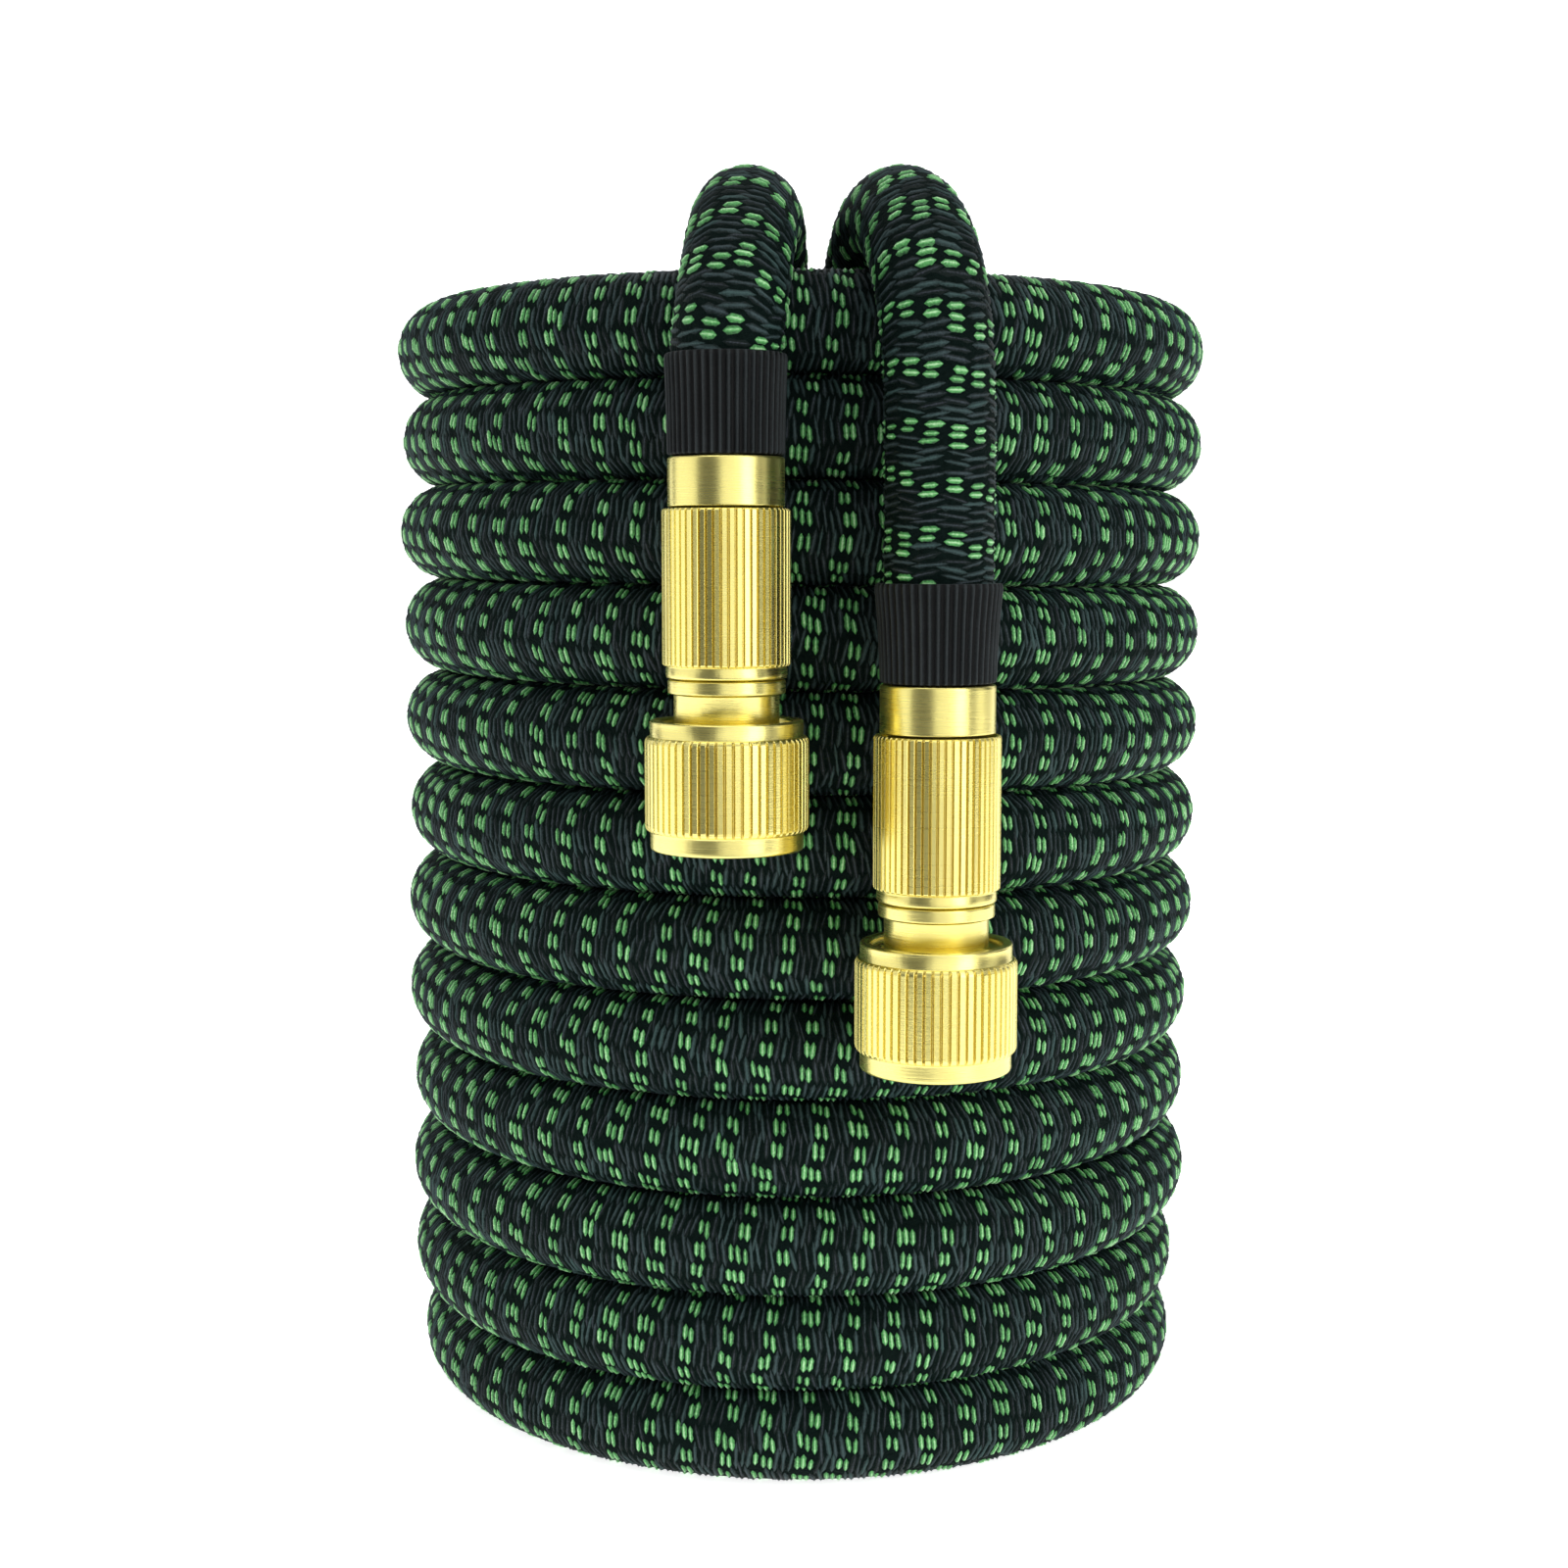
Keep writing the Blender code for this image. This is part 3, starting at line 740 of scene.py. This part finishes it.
# The adapter plugs into the quick connector. Below its plain ring a narrow neck runs down into the
# nut, and its flange turns inside the nut, above the washer.
ADAPTER_STATIONS = (
    [(0.0045, -0.0774, 0.0), (0.0045, -0.0800, 0.0), (0.0126, -0.0800, 0.0), (0.0126, -0.0774, 0.0)]
    + [(0.01065, -0.0774, 0.0), (0.01065, -0.0770, 0.0), (0.01065, -0.0676, 0.0), (0.0108, -0.0673, 0.0)]
    + [(0.0114, -0.0672, 0.0)]
    + rounded((0.0115, -0.0672, 0.0), (0.01185, -0.0669, 0.0), points=3)
    + [(0.01185, -0.0667, 0.0), (0.01185, -0.0649, 0.0)]
    + rounded((0.01185, -0.0648, 0.0), (0.0114, -0.0644, 0.0), from_side=False, points=3)
    + [(0.0070, -0.0644, 0.0), (0.0070, -0.0450, 0.0), (0.0065, -0.0444, 0.0), (0.0045, -0.0444, 0.0)]
)

for side in FITTINGS:
    adapter = turned_piece(f"{side}_adapter_turning", ADAPTER_STATIONS)
    place_piece(adapter, side, "hose", f"{side}_adapter")
    adapter.data.materials.append(brass_material)

# A flat black washer seals the nut against the tap's mouth. It lies loose in the nut, below the
# adapter's flange.
washer_material, washer_shader, place = new_material("washer_rubber")
grain = place.noise(1800.0, 2.0)
feed(
    washer_shader,
    Base_Color=grain.between((0.010, 0.010, 0.011, 1), (0.028, 0.028, 0.030, 1)),
    Roughness=grain * 0.2 + 0.55,
    Normal=grain * 0.00008,
)
WASHER_STATIONS = (
    [(0.0065, -0.0824, 0.0), (0.0068, -0.0827, 0.0), (0.0123, -0.0827, 0.0), (0.0126, -0.0824, 0.0)]
    + [(0.0126, -0.0806, 0.0), (0.0123, -0.0803, 0.0), (0.0068, -0.0803, 0.0), (0.0065, -0.0806, 0.0)]
)
for side in FITTINGS:
    washer = turned_piece(f"{side}_washer_ring", WASHER_STATIONS)
    place_piece(washer, side, "hose", f"{side}_nut_washer")
    washer.data.materials.append(washer_material)

# The tap nut turns freely on the adapter's flange. It has coarser straight knurling for wet hands, a
# plain lip at each end, a recess round the neck in its top, and a pipe thread inside.
NUT_RIBS = 60
NUT_DEPTH = 0.00060
SOCKET_RADIUS = 0.0132
NUT_STATIONS = (
    [(SOCKET_RADIUS, -0.0790, 0.0), (SOCKET_RADIUS, -0.0975, 0.0)]
    + [(0.0136, -0.0984, 0.0), (0.0140, -0.0988, 0.0)]
    + rounded((0.0149, -0.0988, 0.0), (0.0155, -0.0982, 0.0))
    + [(0.0155, -0.0979, 0.0), (0.0155, -0.0953, 0.0)]
    + rounded((0.0155, -0.0950, 0.0), (0.01655, -0.0938, NUT_DEPTH))
    + [(0.01655, -0.0935, NUT_DEPTH), (0.01655, -0.0850, NUT_DEPTH), (0.01655, -0.0772, NUT_DEPTH)]
    + rounded((0.01655, -0.0770, NUT_DEPTH), (0.0156, -0.0758, 0.0), from_side=False)
    + [(0.0155, -0.0757, 0.0), (0.0155, -0.0731, 0.0)]
    + rounded((0.0155, -0.0730, 0.0), (0.0151, -0.0726, 0.0), from_side=False, points=3)
    + [(0.0137, -0.0726, 0.0), (0.0134, -0.0729, 0.0), (0.0133, -0.0733, 0.0), (0.0133, -0.0739, 0.0)]
    + [(0.0131, -0.0741, 0.0), (0.0113, -0.0741, 0.0), (0.0111, -0.0743, 0.0), (0.0111, -0.0769, 0.0)]
    + [(0.0113, -0.0771, 0.0), (0.0130, -0.0771, 0.0), (SOCKET_RADIUS, -0.0774, 0.0)]
)

# The thread is a helical ridge of four corners a step, which fades into the socket's wall at both ends. Its
# brass is a little darker than a rib's top, with the valleys' grime and painted shade: this far towards a
# valley's.
THREAD_PITCH = 0.001814
THREAD_TURNS = 7
THREAD_SIDES = 48
THREAD_FOOT = -0.0972
THREAD_HOLLOW = 0.3
thread_turn = np.repeat(np.arange(THREAD_TURNS * THREAD_SIDES + 1) / THREAD_SIDES, 4)
thread_fade = np.clip(np.minimum(thread_turn, THREAD_TURNS - thread_turn) * 4, 0, 1)
thread_in = np.tile([0.0003, -0.0009, -0.0009, 0.0003], len(thread_turn) // 4)
thread_out = np.tile([-0.0008, -0.0002, 0.0002, 0.0008], len(thread_turn) // 4)
thread_radius = SOCKET_RADIUS + np.where(thread_in < 0, thread_in * thread_fade, thread_in)
thread_angle = thread_turn * 2 * math.pi
thread_height = THREAD_FOOT + thread_turn * THREAD_PITCH + thread_out
thread_points = np.stack(
    [thread_radius * np.cos(thread_angle), thread_radius * np.sin(thread_angle), thread_height], axis=1
)
last = len(thread_points) - 4
thread_ends = np.array([[3, 2, 1, 0], [last, last + 1, last + 2, last + 3]])
thread_faces = [tube_faces(len(thread_points) // 4, 4), thread_ends]

for side in FITTINGS:
    nut = turned_piece(f"{side}_nut_turning", NUT_STATIONS, NUT_RIBS, BRASS_RIB)
    place_piece(nut, side, f"{side}_nut", f"{side}_tap_nut")
    thread = mesh_piece(f"{side}_nut_thread", thread_points, thread_faces, smooth=False)
    add_measure(thread, "hollow", np.full(len(thread_points), THREAD_HOLLOW))
    place_piece(thread, side, f"{side}_nut", f"{side}_tap_nut")
    for brass in (nut, thread):
        brass.data.materials.append(brass_material)

# A pale seamless sweep of paper lies under the coil and bends up behind it, as in a studio for pictures of
# goods on white. The paper also glows, though it is no lamp: painted light that lights the coil from below
# and washes out the coil's shadow on it.
SWEEP_WIDTH = 5.0
SWEEP_FRONT = -0.45
SWEEP_BACK = 1.2
SWEEP_BEND = 0.8
SWEEP_TOP = 3.0
sweep_line = [(SWEEP_FRONT, 0.0), (SWEEP_BACK, 0.0)]
for bend in np.linspace(0.1, math.pi / 2, 12):
    sweep_line.append((SWEEP_BACK + SWEEP_BEND * math.sin(bend), SWEEP_BEND - SWEEP_BEND * math.cos(bend)))
sweep_line.append((SWEEP_BACK + SWEEP_BEND, SWEEP_TOP))
sweep_points = [(x, y, z) for y, z in sweep_line for x in (-SWEEP_WIDTH / 2, SWEEP_WIDTH / 2)]
strip = np.arange(len(sweep_line) - 1)[:, None] * 2
sweep = mesh_piece("studio_sweep", np.array(sweep_points), [strip + np.array([0, 1, 3, 2])])
sweep_material, sweep_shader, place = new_material("studio_sweep")
feed(sweep_shader, Base_Color=place.noise(3.0, 1.0).between((0.90, 0.90, 0.90, 1), (0.93, 0.93, 0.93, 1)))
# The sweep's glow is painted light, which fills the coil from below and washes out its shadow on the floor.
set_sockets(sweep_shader, {"Roughness": 0.9, "Emission Color": (1, 1, 1, 1), "Emission Strength": 0.80})
sweep.data.materials.append(sweep_material)

# The studio's far walls are a pale shell that only the camera sees, so it lights and mirrors
# nothing. It stays open by a narrow hole at its top and at its foot.
WALL_RADIUS = 8.0
WALL_RINGS = 12
WALL_SIDES = 24
WALL_CLOSED = 0.995
wall_points = []
for k in range(WALL_RINGS + 1):
    rise = math.pi * (k / WALL_RINGS - 0.5) * WALL_CLOSED
    for side in range(WALL_SIDES):
        turn = 2 * math.pi * side / WALL_SIDES
        flat = WALL_RADIUS * math.cos(rise)
        wall_points.append((flat * math.cos(turn), flat * math.sin(turn), WALL_RADIUS * math.sin(rise)))
inward_faces = tube_faces(WALL_RINGS + 1, WALL_SIDES)[:, ::-1]
studio_walls = mesh_piece("studio_walls", np.array(wall_points), [inward_faces])
wall_material, wall_shader, place = new_material("studio_walls")
feed(wall_shader, Base_Color=place.noise(0.5, 1.0).between((0.90, 0.90, 0.90, 1), (0.93, 0.93, 0.93, 1)))
set_sockets(wall_shader, {"Roughness": 0.9, "Emission Color": (1, 1, 1, 1), "Emission Strength": 1.0})
studio_walls.data.materials.append(wall_material)
for ray in ("diffuse", "glossy", "transmission", "volume_scatter", "shadow"):
    setattr(studio_walls, f"visible_{ray}", False)

# Large soft lamps stand before the coil, at both its sides and over it, a stronger one on the left
# than on the right. A dim sky fills the shadows.
MIDDLE = Vector((0.0, 0.0, 0.14))


def soft_lamp(name, place, width, height, power):
    """A rectangular lamp at a place, turned to the coil's middle."""
    data = bpy.data.lights.new(name, "AREA")
    data.shape = "RECTANGLE"
    data.size = width
    data.size_y = height
    data.energy = power
    lamp = bpy.data.objects.new(name, data)
    lamp.location = place
    lamp.rotation_euler = (MIDDLE - Vector(place)).to_track_quat("-Z", "Y").to_euler()
    bpy.context.scene.collection.objects.link(lamp)


soft_lamp("front_wide", (0.53, -1.29, 0.50), 1.9, 1.5, 9.0)
soft_lamp("front_right", (0.83, -0.96, 0.50), 0.55, 1.2, 3.6)
soft_lamp("left_side", (-1.35, -0.15, 0.50), 1.6, 1.5, 7.0)
soft_lamp("right_side", (1.45, -0.10, 0.50), 0.6, 1.4, 1.6)
soft_lamp("overhead", (0.0, -0.25, 1.40), 1.6, 1.2, 9.0)

world = bpy.data.worlds.new("studio")
world.use_nodes = True
set_sockets(world.node_tree.nodes["Background"], {"Color": (0.9, 0.95, 1.0, 1), "Strength": 0.12})
bpy.context.scene.world = world
bpy.context.scene.view_settings.view_transform = "Standard"
